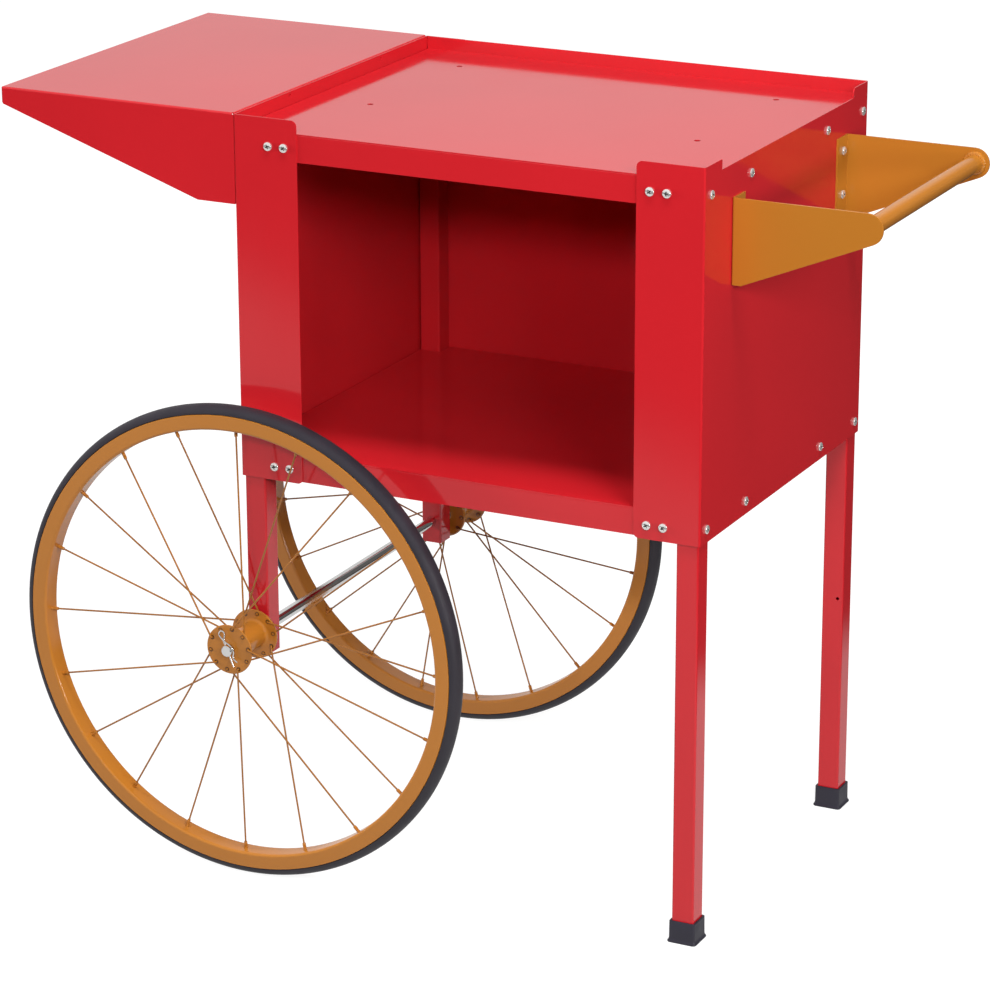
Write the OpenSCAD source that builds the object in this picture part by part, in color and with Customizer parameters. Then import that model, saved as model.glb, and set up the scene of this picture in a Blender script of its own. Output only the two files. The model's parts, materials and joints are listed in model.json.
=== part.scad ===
// Two-wheeled display cart for a countertop popcorn machine.
// Open-front sheet-metal cabinet on four square-tube legs, two laced wheels on one through axle,
// a folded side tray on the wheel side and a push handle on the other.
// Working frame: X from the left panel's outer face to the right, Y from the front face to the
// back, Z up from the floor. place() then moves the origin under the centre of the whole cart.

/* [Cabinet] */
// Cabinet width over the side panels
cab_w = 549; // [450:1:700]
// Cabinet depth over the front and rear flanges
cab_d = 447; // [380:1:560]
// Height of the raised lips above the floor
lip_z = 860; // [780:1:950]
// Height of the table surface
table_z = 845.5; // [765:0.5:935]
// Height of the shelf surface inside the cabinet
shelf_z = 488; // [430:1:560]
// Height of the cabinet's lower edge
cab_z = 455; // [400:1:500]
// Depth of the rails folded down from the table and the shelf
rail_h = 31; // [25:1:45]
// Width of the front flanges of the side panels
post_w = 76.4; // [60:0.5:110]
// Sheet thickness
sheet = 1.2; // [0.8:0.1:1.6]
// Outer radius of the folds
fold_r = 2.2; // [1.8:0.1:3]

/* [Table holes] */
// Hole spacing across the table
hole_x = 390; // [300:1:420]
// Hole spacing from front to back
hole_y = 214; // [150:1:260]
// Diameter of the machine mounting holes
hole_d = 7; // [5:0.5:9]

/* [Legs and feet] */
// Width of the square leg tube
leg_w = 25.4; // [20:0.1:30]
// Wall of the leg tube
leg_wall = 1.5; // [1.2:0.1:2]
// Distance from the axle's centre down to the end of the short legs
leg_below_axle = 25.8; // [18:0.2:40]
// Wall of the rubber feet
foot_wall = 2.5; // [1.5:0.1:3.5]
// Height of the rubber feet
foot_h = 25; // [18:1:40]

/* [Wheels] */
// Outer radius of the tyre
tyre_r = 273.5; // [240:0.5:300]
// Width of the rim
rim_w = 24.8; // [20:0.2:30]
// Radial height of the rim's side walls
rim_h = 17.5; // [14:0.5:22]
// Distance of the rim's centre plane from the cabinet's front face
wheel_out = 36.8; // [34:0.2:50]
// Distance of the axle's centre line from the left panel's outer face
axle_x = 15.3; // [15.3:0.1:16]
// Spokes in each wheel
spoke_n = 20; // [20:20:40]
// Spoke diameter
spoke_d = 2; // [1.8:0.1:2.2]
// Diameter of the hub flanges
hub_d = 57; // [54:1:66]
// Diameter of the hub barrel
barrel_d = 30; // [26:1:34]

/* [Axle] */
// Axle diameter
axle_d = 12.7; // [10:0.1:14]
// Radial clearance between axle and hub
run_gap = 0.07; // [0.03:0.01:0.1]
// Axle length beyond the outer hub face
axle_end = 8; // [7:0.5:12]
// Wire diameter of the retaining clips
clip_d = 1.8; // [1.4:0.1:2]

/* [Side tray] */
// Reach of the tray beyond the left panel
tray_l = 294.9; // [200:1:380]
// Height of the tray's outer edge
tray_edge = 18.3; // [12:0.1:30]
// Height of the tray's sides at the cabinet
tray_drop = 100.3; // [60:0.1:140]
// Length of the level part of the tray's lower edge
tray_foot = 46.8; // [20:1:80]

/* [Handle] */
// Reach of the handle beyond the right panel
handle_l = 166; // [120:1:220]
// Height of the handle brackets' upper edge
handle_top = 813.5; // [780:0.5:830]
// Height of the handle brackets at the cabinet
handle_h = 93; // [70:1:110]
// Distance from the cabinet's front face to the front bracket
handle_y1 = 70; // [50:1:100]
// Distance from the cabinet's front face to the rear bracket
handle_y2 = 386; // [340:1:400]
// Diameter of the grip tube
grip_d = 20; // [18:0.5:24]
// Thickness of the bracket sheet
bracket_t = 2; // [1.5:0.1:3]

/* [Hidden] */

$fn = 48;
eps = 0.01;
fit = 0.1;                                   // gap between stacked sheets

// colours
red = [0.80, 0.11, 0.14];
gold = [0.79, 0.50, 0.17];
black_rubber = [0.14, 0.13, 0.14];
bright_steel = [0.80, 0.80, 0.80];
zinc = [0.72, 0.73, 0.74];

// cabinet stack: outer sheet, one gap, inner sheet, one gap, leg
inner_face = sheet + fit;                    // outside of the table and shelf flanges
leg_in = inner_face + sheet + fit;           // leg face from the cabinet's outer face
leg_mid = leg_in + leg_w / 2;
leg_top = table_z - sheet - 1.8;
rear_flange = 55;
post_corner = 7;
tab_len = 43;                                // raised tabs of the right panel
panel_edge = table_z + 3.5;                  // right panel's edge between its tabs
hole_mid_y = 267.5;
lip_hole_d = 3.2;
leg_hole_z = 259.5;                          // small hole in each long leg's inner face

// fasteners, M5
screw_d = 5;
head_d = 9.7;
head_h = 3.2;
head_dome = 8;
nut_w = 8;
nut_h = 4;
hole_r = 2.75;
upper_z = table_z - 16.5;
lower_z = cab_z + 15.5;
side_y = [leg_mid, cab_d / 2 - 105, cab_d / 2 + 105, cab_d - leg_mid];
post_x = [42, 61];
back_x = [42, cab_w / 2, cab_w - 42];

// wheel, in its own frame with +Z outboard and z = 0 in the rim's centre plane
wheel_z = tyre_r;
rim_r = tyre_r - 9.5;                        // outer radius of the rim's side walls
rim_in = rim_r - rim_h;
rim_t = 1.6;
hub_out = 25.2;
hub_in = -32.8;
flange_t = 3;
spoke_ring = 24;
nipple_r = 2;
nipple_l = 8;
rear_turn = 24.5;                            // the rear wheel's resting angle
lacing_step = 360 / spoke_n;
hub_hole_step = 2 * lacing_step;

axle_y = wheel_out + hub_out + axle_end;     // axle end in front of the cabinet
clip_y = axle_y - 3.7;
clip_tilt = 23;

nose_r = 17;
nose_x = cab_w + handle_l - nose_r;
nose_z = handle_top - nose_r;
lug_w = 30;                                  // flange that bolts the bracket to the panel
lug_mid = 15;
handle_z = [handle_top - 16, handle_top - 64.8];

mid_x = (cab_w + handle_l - tray_l) / 2;
tray_top = lip_z + 1.1;
tray_end = -sheet - 2 * fit;                 // outer face of the tray's mounting flange

// ---- shared geometry ----

// moves the working frame so that the origin lies under the centre of the cart
module place() translate([-mid_x, -cab_d / 2, 0]) children();

function arc(c, r, a0, a1, n = 6) =
    [for (i = [0:n]) c + r * [cos(a0 + (a1 - a0) * i / n), sin(a0 + (a1 - a0) * i / n)]];

// a quarter of a bent sheet's section, round the origin in the first quadrant
module bend2d() {
    difference() {
        intersection() {
            circle(fold_r);
            square(fold_r);
        }
        circle(fold_r - sheet);
    }
}

// section of a sheet w wide with legs folded down at its two ends, outer faces at x = 0, x = w, y = 0
module fold2d(w, left, right) {
    x0 = left > 0 ? fold_r : 0;
    x1 = right > 0 ? w - fold_r : w;
    translate([x0, -sheet]) square([x1 - x0, sheet]);
    if (left > 0) {
        translate([0, -left]) square([sheet, left - fold_r]);
        translate([fold_r, -fold_r]) mirror([1, 0]) bend2d();
    }
    if (right > 0) {
        translate([w - sheet, -right]) square([sheet, right - fold_r]);
        translate([w - fold_r, -fold_r]) bend2d();
    }
}

// XZ section swept along Y, and YZ section swept along X
module along_y(y0, y1) translate([0, y1, 0]) rotate([90, 0, 0]) linear_extrude(y1 - y0) children();
module along_x(x0, x1) translate([x0, 0, 0]) rotate([90, 0, 90]) linear_extrude(x1 - x0) children();

// what a round corner leaves of a square one, corner at the origin, material towards -X and -Y
module corner_off2d(r) {
    difference() {
        translate([-r, -r]) square(r + 1);
        translate([-r, -r]) circle(r);
    }
}

module round_square2d(w, r) {
    square([w, w - 2 * r], center = true);
    square([w - 2 * r, w], center = true);
    for (sx = [-1, 1], sy = [-1, 1]) translate([sx * (w / 2 - r), sy * (w / 2 - r)]) circle(r);
}

// frames with +Z out of each face of the cabinet
module on_front(x, z, y = 0) translate([x, y, z]) rotate([90, 0, 0]) children();
module on_back(x, z) translate([x, cab_d, z]) rotate([-90, 0, 0]) children();
module on_left(y, z, x = 0) translate([x, y, z]) rotate([0, -90, 0]) children();
module on_right(y, z, x = cab_w) translate([x, y, z]) rotate([0, 90, 0]) children();
module mirror_x() translate([cab_w, 0, 0]) mirror([1, 0, 0]) children();
module mirror_y() translate([0, cab_d, 0]) mirror([0, 1, 0]) children();

module drill(r = hole_r, depth = 12) translate([0, 0, -depth]) cylinder(r = r, h = depth + 4);

// every fastener's frame on one face; the child index i gives each screw its own turn
module front_sites() {
    for (x = concat(post_x, [for (p = post_x) cab_w - p]), z = [upper_z, lower_z])
        on_front(x, z) rotate(x * 7 + z) children();
}
module back_sites() for (x = back_x, z = [upper_z, lower_z]) on_back(x, z) rotate(x * 5 + z) children();
module left_sites(x_up = 0) {
    for (y = side_y) on_left(y, upper_z, x_up) rotate(y * 3) children();
    for (y = side_y) on_left(y, lower_z) rotate(y * 5) children();
}
module right_sites() for (y = side_y, z = [upper_z, lower_z]) on_right(y, z) rotate(y * 4 + z) children();
module handle_sites(x = cab_w + fit + bracket_t) {
    for (y = [handle_y1 + lug_mid, handle_y2 - lug_mid], z = handle_z)
        on_right(y, z, x) rotate(y * 6 + z) children();
}
module inner_left_sites() for (y = [side_y[1], side_y[2]], z = [upper_z, lower_z]) on_left(y, z) children();
module inner_right_sites() for (y = [side_y[1], side_y[2]], z = [upper_z, lower_z]) on_right(y, z) children();

module screw(l = 12) {
    difference() {
        union() {
            intersection() {
                cylinder(d = head_d, h = head_h);
                translate([0, 0, head_h - head_dome]) sphere(head_dome);
            }
            translate([0, 0, -l]) cylinder(d = screw_d, h = l + eps);
        }
        for (a = [0, 90]) rotate(a) translate([-2.6, -0.5, head_h - 1.9]) cube([5.2, 1, 3]);
    }
}

// hexagon nut whose outer face lies gap below the sheets' outer face
module nut(gap) {
    translate([0, 0, -gap - nut_h]) difference() {
        cylinder(d = nut_w / cos(30), h = nut_h, $fn = 6);
        translate([0, 0, -1]) cylinder(r = screw_d / 2 + 0.05, h = nut_h + 2);
    }
}

// ---- cabinet ----

// folded side panel seen from the left side, before its top edge is shaped
module side_blank() {
    difference() {
        translate([0, 0, cab_z]) linear_extrude(lip_z - cab_z)
            rotate(90) fold2d(cab_d, post_w, rear_flange);
        translate([post_w, 0, lip_z]) along_y(-1, fold_r) corner_off2d(post_corner);
        translate([post_w, 0, cab_z]) along_y(-1, fold_r) mirror([0, 1]) corner_off2d(6);
        translate([rear_flange, 0, lip_z]) along_y(cab_d - fold_r, cab_d + 1) corner_off2d(post_corner);
        translate([rear_flange, 0, cab_z]) along_y(cab_d - fold_r, cab_d + 1)
            mirror([0, 1]) corner_off2d(6);
    }
}

module left_side_panel() color(red) {
    difference() {
        side_blank();
        front_sites() drill();
        back_sites() drill();
        left_sites() drill();
        for (y = [side_y[1] + 3, side_y[2] + 3]) on_left(y, lip_z - 4.2) drill(lip_hole_d / 2);
    }
}

module right_side_panel() color(red) {
    difference() {
        mirror_x() side_blank();
        translate([cab_w - fold_r, tab_len, panel_edge]) cube([fold_r + 1, cab_d - 2 * tab_len, 30]);
        translate([0, cab_d - tab_len, lip_z]) along_x(cab_w - fold_r, cab_w + 1)
            mirror([1, 0]) corner_off2d(6);
        translate([0, tab_len, lip_z]) along_x(cab_w - fold_r, cab_w + 1) corner_off2d(1.5);
        front_sites() drill();
        back_sites() drill();
        right_sites() drill();
        handle_sites() drill();
    }
}

module back_panel() color(red) {
    x0 = fold_r + 2 * fit;                       // clear of the side panels' inner bends
    difference() {
        translate([x0, cab_d - 2 * sheet - fit, cab_z]) cube([cab_w - 2 * x0, sheet, lip_z - cab_z]);
        back_sites() drill();
    }
}

// tray pressed from one sheet: top at z_top, front and side rails, and a rear rail between the legs
module pan(z_top) {
    w = cab_w - 2 * inner_face;
    y0 = inner_face;
    y1 = cab_d - leg_in;
    translate([inner_face, 0, z_top]) along_y(y0 + fold_r, y1) fold2d(w, rail_h, rail_h);
    translate([0, y0, z_top]) along_x(inner_face + fold_r, cab_w - inner_face - fold_r)
        fold2d(y1 - y0, rail_h, 0);
    translate([0, y0, z_top]) along_x(leg_in + leg_w + 1, cab_w - leg_in - leg_w - 1)
        fold2d(y1 - y0, 0, rail_h);
}

module table_top() color(red) {
    difference() {
        pan(table_z);
        for (sx = [-1, 1], sy = [-1, 1])
            translate([cab_w / 2 + sx * hole_x / 2, hole_mid_y + sy * hole_y / 2, table_z - 5])
                cylinder(d = hole_d, h = 10);
        front_sites() drill();
        back_sites() drill();
        left_sites() drill();
        right_sites() drill();
    }
}

module cabinet_shelf() color(red) {
    notch = leg_w + 0.5;
    difference() {
        pan(shelf_z);
        for (x = [leg_in - 0.05, cab_w - leg_in + 0.05 - notch], y = [leg_in - 0.05, cab_d - leg_in + 0.05 - notch])
            translate([x, y, shelf_z - 8]) cube([notch, notch, 9]);
        front_sites() drill();
        back_sites() drill();
        left_sites() drill();
        right_sites() drill();
    }
}

// folded tray: top, two sides with a sloping lower edge, an outer edge and a mounting flange
module side_tray() color(red) {
    w = tray_l + tray_end + sheet;
    outline = [
        [-tray_l, tray_top + 1], [-tray_l, tray_top - tray_edge],
        [-tray_foot, tray_top - tray_drop], [0, tray_top - tray_drop], [0, tray_top + 1]
    ];
    difference() {
        union() {
            intersection() {
                translate([0, 0, tray_top]) along_x(-tray_l + fold_r, tray_end - 0.6)
                    fold2d(cab_d, tray_drop, tray_drop);
                along_y(-1, cab_d + 1) polygon(outline);
            }
            translate([-tray_l, 0, tray_top]) along_y(fold_r, cab_d - fold_r)
                fold2d(w, tray_edge, tray_drop);
            // the sides run on past the flange's ends to the panel
            for (y = [0, cab_d - sheet])
                translate([tray_end - 1, y, tray_top - tray_drop])
                    cube([1 + sheet, sheet, tray_drop - fold_r]);
        }
        left_sites() drill();
    }
}

// ---- legs ----

module leg_tube(z0, z1) {
    translate([leg_mid, leg_mid, z0]) linear_extrude(z1 - z0) difference() {
        round_square2d(leg_w, 2);
        round_square2d(leg_w - 2 * leg_wall, 0.6);
    }
}

module short_leg() {
    difference() {
        leg_tube(wheel_z - leg_below_axle, leg_top);
        translate([axle_x, -5, wheel_z]) rotate([-90, 0, 0]) cylinder(r = axle_d / 2 + 0.05, h = 50);
        left_sites() drill(screw_d / 2 + 0.05);
    }
}

module long_leg() {
    difference() {
        leg_tube(3, leg_top);
        left_sites() drill(screw_d / 2 + 0.05);
        translate([leg_mid - 6, leg_mid, leg_hole_z]) rotate([-90, 0, 0]) cylinder(r = 2, h = leg_w);
    }
}

module front_left_leg() color(red) short_leg();
module rear_left_leg() color(red) mirror_y() short_leg();
module front_right_leg() color(red) mirror_x() long_leg();
module rear_right_leg() color(red) mirror_x() mirror_y() long_leg();

module foot() {
    w = leg_w + 2 * foot_wall;
    difference() {
        translate([leg_mid, leg_mid, 0]) {
            linear_extrude(foot_h) round_square2d(w, 3.5);
            hull() {
                linear_extrude(1.2) round_square2d(w + 3.6, 4.5, $fn = 32);
                linear_extrude(5) round_square2d(w + 0.02, 3.5, $fn = 32);
            }
        }
        translate([leg_mid, leg_mid, 3 - fit]) linear_extrude(foot_h) round_square2d(leg_w + fit, 2);
    }
}

module front_right_foot() color(black_rubber) mirror_x() foot();
module rear_right_foot() color(black_rubber) mirror_x() mirror_y() foot();

// ---- axle ----

module axle() color(bright_steel) {
    l = 2 * axle_y + cab_d;
    difference() {
        translate([axle_x, -axle_y, wheel_z]) rotate([-90, 0, 0]) {
            cylinder(d1 = axle_d - 2, d2 = axle_d, h = 1);
            translate([0, 0, 1]) cylinder(d = axle_d, h = l - 2);
            translate([0, 0, l - 1]) cylinder(d1 = axle_d, d2 = axle_d - 2, h = 1);
        }
        for (y = [-clip_y, cab_d + clip_y])
            translate([axle_x, y, wheel_z]) rotate([0, -clip_tilt, 0]) cylinder(r = clip_d / 2 + 0.15, h = 30, center = true);
    }
}

module spacer() {
    gap = 0.3;
    y0 = -wheel_out - hub_in + gap;
    translate([axle_x, y0, wheel_z]) rotate([-90, 0, 0]) difference() {
        cylinder(d = 20, h = leg_in - y0 - fit);
        translate([0, 0, -1]) cylinder(r = axle_d / 2 + 0.1, h = 20);
    }
}

module front_axle_spacer() color(zinc) spacer();
module rear_axle_spacer() color(zinc) mirror_y() spacer();

// centre line of the spring clip: straight leg through the axle, eye, and a leg that hugs the axle
hug_r = axle_d / 2 + clip_d / 2 + 0.25;
clip_path = concat(
    [[0, -19], [0, 12]],
    arc([1.6, 19], 4.2, -115, -425, 20),
    [[2.7, 12.6], [3.3, 9.2]],
    arc([0, 0], hug_r, 52, -42, 8),
    [[3.9, -8.2], [3.9, -10.6], [6.6, -15.5]]
);

// round wire along a path in the XZ plane
module wire(path, r, sides = 10) {
    n = len(path);
    function along(i) = path[min(i + 1, n - 1)] - path[max(i - 1, 0)];
    function ring(i) =
        let (t = along(i) / norm(along(i)))
        [for (k = [0:sides - 1]) let (a = 360 * k / sides)
            [path[i].x + r * cos(a) * t.y, r * sin(a), path[i].y - r * cos(a) * t.x]];
    sides_faces = [for (i = [0:n - 2], k = [0:sides - 1]) let (j = (k + 1) % sides)
        [i * sides + k, i * sides + j, (i + 1) * sides + j, (i + 1) * sides + k]];
    caps = [[for (k = [sides - 1:-1:0]) k], [for (k = [0:sides - 1]) (n - 1) * sides + k]];
    polyhedron([for (i = [0:n - 1]) each ring(i)], concat(sides_faces, caps));
}

module clip() translate([axle_x, -clip_y, wheel_z]) rotate([0, -clip_tilt, 0]) wire(clip_path, clip_d / 2);

module front_retaining_clip() color(bright_steel) clip();
module rear_retaining_clip() color(bright_steel) mirror_y() clip();

// ---- wheels ----

module front_wheel_place() translate([axle_x, -wheel_out, wheel_z]) rotate([90, 0, 0]) children();
module rear_wheel_place() mirror_y() front_wheel_place() rotate(rear_turn) children();

// spokes in fours: [rim angle, hub angle, flange (1 outboard, -1 inboard), on the flange's outer side]
lacing = [for (i = [0:spoke_n / 4 - 1]) let (a = 4 * lacing_step * i)
    each [[a, a + 45, -1, false], [a + 18, a - 27, 1, false], [a + 36, a + 9, -1, true], [a + 54, a + 81, 1, true]]];

function flange_face(side) = side > 0 ? hub_out : hub_in;
function polar(r, a, z) = [r * cos(a), r * sin(a), z];
function elbow(s) = polar(spoke_ring, s[1], flange_face(s[2]) + s[2] * (s[3] ? 2 : -flange_t - 1.3));
function rim_point(s) = polar(rim_in + rim_t / 2, s[0], 0);

// frame at b with +Z pointing away from a
module facing(a, b) {
    d = b - a;
    translate(b) rotate([0, acos(d.z / norm(d)), atan2(d.y, d.x)]) children();
}

module tyre() {
    foot_r = rim_in + 5;
    foot_hw = rim_w / 2 - rim_t - 0.2;
    crown_hw = rim_w / 2 - 0.2;
    crown_h = tyre_r - rim_r - 0.6;
    rotate_extrude($fn = 96) polygon(concat(
        [[foot_r, foot_hw], [foot_r, -foot_hw], [rim_r + 0.3, -foot_hw], [rim_r + 0.3, -crown_hw]],
        [for (p = arc([0, 0], 1, -90, 90, 14)) [rim_r + 0.6 + crown_h * p.x, crown_hw * p.y]],
        [[rim_r + 0.3, crown_hw], [rim_r + 0.3, foot_hw]]
    ));
}

module rim() {
    hw = rim_w / 2;
    r = 3;
    ri = r - rim_t;
    difference() {
        rotate_extrude($fn = 96) polygon(concat(
            [[rim_r, hw - rim_t], [rim_r - 0.5, hw]],
            arc([rim_in + r, hw - r], r, 90, 180),
            arc([rim_in + r, r - hw], r, 180, 270),
            [[rim_r - 0.5, -hw], [rim_r, rim_t - hw]],
            arc([rim_in + r, r - hw], ri, 270, 180),
            arc([rim_in + r, hw - r], ri, 180, 90)
        ));
        for (s = lacing) facing(elbow(s), rim_point(s)) cylinder(r = nipple_r + 0.3, h = 8, center = true, $fn = 24);
    }
}

module hub() {
    rb = barrel_d / 2;
    rf = hub_d / 2;
    fillet = 4;
    edge = 0.8;
    difference() {
        rotate_extrude($fn = 96) polygon(concat(
            [[axle_d / 2 + run_gap, hub_in], [rf - edge, hub_in]],
            arc([rf - edge, hub_in + flange_t - edge], edge, 0, 90, 3),
            arc([rb + fillet, hub_in + flange_t + fillet], fillet, 270, 180),
            arc([rb + fillet, hub_out - flange_t - fillet], fillet, 180, 90),
            arc([rf - edge, hub_out - edge], edge, 0, 90, 3),
            [[axle_d / 2 + run_gap, hub_out]]
        ));
        for (a = [9:hub_hole_step:368]) rotate(a) translate([spoke_ring, 0, hub_in - 1])
            cylinder(r = spoke_d / 2 + 0.25, h = hub_out - hub_in + 2, $fn = 24);
    }
}

// one spoke: head, short run through the flange, elbow, and the straight run into the nipple
module spoke(s) {
    e = elbow(s);
    far_face = flange_face(s[2]) - (s[3] ? s[2] * flange_t : 0);
    head_dir = s[3] ? -s[2] : s[2];
    head_z = far_face + head_dir * 0.2;
    r = spoke_d / 2;
    translate([e.x, e.y, min(e.z, head_z)]) cylinder(r = r, h = abs(e.z - head_z) + eps, $fn = 16);
    translate([e.x, e.y, head_dir > 0 ? head_z : head_z - 1]) cylinder(r = 1.9, h = 1, $fn = 16);
    translate(e) sphere(r + 0.12, $fn = 16);
    length = norm(rim_point(s) - e) + 1;
    facing(rim_point(s), e) mirror([0, 0, 1]) cylinder(r = r, h = length, $fn = 16);
}

module nipple(s) {
    facing(elbow(s), rim_point(s)) difference() {
        union() {
            translate([0, 0, -nipple_l - 0.8]) cylinder(r = nipple_r, h = nipple_l + 3, $fn = 24);
            translate([0, 0, 1.4]) cylinder(r = 3, h = 1.6, $fn = 24);
        }
        translate([0, 0, -20]) cylinder(r = spoke_d / 2 + 0.06, h = 21.5, $fn = 24);
    }
}

module spokes() for (s = lacing) spoke(s);
module nipples() for (s = lacing) nipple(s);

module front_tyre() color(black_rubber) front_wheel_place() tyre();
module front_rim() color(gold) front_wheel_place() rim();
module front_hub() color(gold) front_wheel_place() hub();
module front_spokes() color(gold) front_wheel_place() spokes();
module front_spoke_nipples() color(gold) front_wheel_place() nipples();
module rear_tyre() color(black_rubber) rear_wheel_place() tyre();
module rear_rim() color(gold) rear_wheel_place() rim();
module rear_hub() color(gold) rear_wheel_place() hub();
module rear_spokes() color(gold) rear_wheel_place() spokes();
module rear_spoke_nipples() color(gold) rear_wheel_place() nipples();

// ---- handle ----

// front bracket: an L-shaped sheet trimmed to a tapering outline with a round nose
module bracket() {
    x0 = cab_w + fit;
    slope = atan2(handle_h - 2 * nose_r - 1.5, nose_x - x0 - 11);
    difference() {
        intersection() {
            translate([0, 0, handle_top - handle_h]) linear_extrude(handle_h) {
                translate([x0 + fold_r, handle_y1]) square([handle_l, bracket_t]);
                translate([x0, handle_y1 + fold_r]) square([bracket_t, lug_w - fold_r]);
                translate([x0 + fold_r, handle_y1 + fold_r]) difference() {
                    intersection() {
                        circle(fold_r);
                        translate([-fold_r, -fold_r]) square(fold_r);
                    }
                    circle(fold_r - bracket_t);
                }
            }
            along_y(handle_y1 - 1, handle_y1 + lug_w + 1) polygon(concat(
                [[x0 - 1, handle_top - handle_h], [x0 + 11, handle_top - handle_h]],
                arc([nose_x, nose_z], nose_r, slope - 90, 90, 12),
                [[x0 - 1, handle_top]]
            ));
        }
        handle_sites() drill();
    }
}

module front_handle_bracket() color(gold) bracket();
module rear_handle_bracket() color(gold)
    translate([0, handle_y1 + handle_y2, 0]) mirror([0, 1, 0]) bracket();

module grip_tube() color(gold) {
    y0 = handle_y1 + bracket_t;
    y1 = handle_y2 - bracket_t;
    translate([nose_x, y0, nose_z]) rotate([-90, 0, 0]) difference() {
        cylinder(d = grip_d, h = y1 - y0);
        translate([0, 0, -1]) cylinder(d = grip_d - 3, h = y1 - y0 + 2);
    }
}

module grip_welds() color(gold) {
    y0 = handle_y1 + bracket_t;
    r = grip_d / 2 + 0.05;
    for (end = [0, 1]) translate([nose_x, end == 0 ? y0 : handle_y2 - bracket_t, nose_z])
        rotate([end == 0 ? -90 : 90, 0, 0])
            rotate_extrude() polygon(concat([[r, 0]], arc([r, 0], 3.2, 0, 90, 5)));
}

// ---- fasteners ----

module front_screws() color(bright_steel) front_sites() screw();
module back_screws() color(bright_steel) back_sites() screw();
module right_screws() color(bright_steel) right_sites() screw();
module left_screws() color(bright_steel) left_sites(tray_end) screw();
module handle_screws() color(bright_steel) handle_sites() screw(14);

module front_nuts() color(zinc) front_sites() nut(leg_in + fit);
module back_nuts() color(zinc) back_sites() nut(leg_in + sheet + fit);
module left_nuts() color(zinc) inner_left_sites() nut(leg_in);
module right_nuts() color(zinc) inner_right_sites() nut(leg_in);
module handle_nuts() color(zinc) handle_sites(cab_w) nut(sheet + fit);

place() left_side_panel();
place() right_side_panel();
place() back_panel();
place() table_top();
place() cabinet_shelf();
place() side_tray();
place() front_left_leg();
place() rear_left_leg();
place() front_right_leg();
place() rear_right_leg();
place() front_right_foot();
place() rear_right_foot();
place() axle();
place() front_axle_spacer();
place() rear_axle_spacer();
place() front_retaining_clip();
place() rear_retaining_clip();
place() front_tyre();
place() front_rim();
place() front_hub();
place() front_spokes();
place() front_spoke_nipples();
place() rear_tyre();
place() rear_rim();
place() rear_hub();
place() rear_spokes();
place() rear_spoke_nipples();
place() front_handle_bracket();
place() rear_handle_bracket();
place() grip_tube();
place() grip_welds();
place() front_screws();
place() left_screws();
place() right_screws();
place() back_screws();
place() handle_screws();
place() front_nuts();
place() left_nuts();
place() right_nuts();
place() back_nuts();
place() handle_nuts();
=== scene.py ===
"""Looks of the popcorn machine cart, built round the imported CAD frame."""

import json
import math
import random

import bmesh
import bpy
from mathutils import Matrix, Quaternion, Vector

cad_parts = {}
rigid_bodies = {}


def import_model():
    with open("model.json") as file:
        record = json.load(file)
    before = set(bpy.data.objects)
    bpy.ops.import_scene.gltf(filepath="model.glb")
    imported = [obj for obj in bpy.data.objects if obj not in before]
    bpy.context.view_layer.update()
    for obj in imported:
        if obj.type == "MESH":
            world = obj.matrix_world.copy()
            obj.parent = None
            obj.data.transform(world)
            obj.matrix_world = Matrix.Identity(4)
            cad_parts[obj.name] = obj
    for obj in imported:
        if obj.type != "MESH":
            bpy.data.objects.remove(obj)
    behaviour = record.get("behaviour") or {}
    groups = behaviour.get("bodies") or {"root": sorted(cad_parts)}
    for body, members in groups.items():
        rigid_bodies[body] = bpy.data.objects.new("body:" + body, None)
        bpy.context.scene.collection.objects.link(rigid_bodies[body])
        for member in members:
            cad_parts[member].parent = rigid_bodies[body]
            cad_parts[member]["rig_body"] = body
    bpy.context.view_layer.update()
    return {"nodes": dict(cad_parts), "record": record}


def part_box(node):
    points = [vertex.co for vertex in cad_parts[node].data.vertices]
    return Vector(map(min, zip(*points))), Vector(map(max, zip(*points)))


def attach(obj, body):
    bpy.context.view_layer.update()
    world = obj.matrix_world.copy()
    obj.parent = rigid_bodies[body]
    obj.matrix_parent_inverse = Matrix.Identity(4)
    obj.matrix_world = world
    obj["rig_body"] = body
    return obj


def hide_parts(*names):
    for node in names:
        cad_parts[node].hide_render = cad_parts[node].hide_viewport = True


MM = 0.001
MERGE = 0.002

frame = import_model()
NODES = frame["nodes"]


# ---- node materials ----


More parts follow.
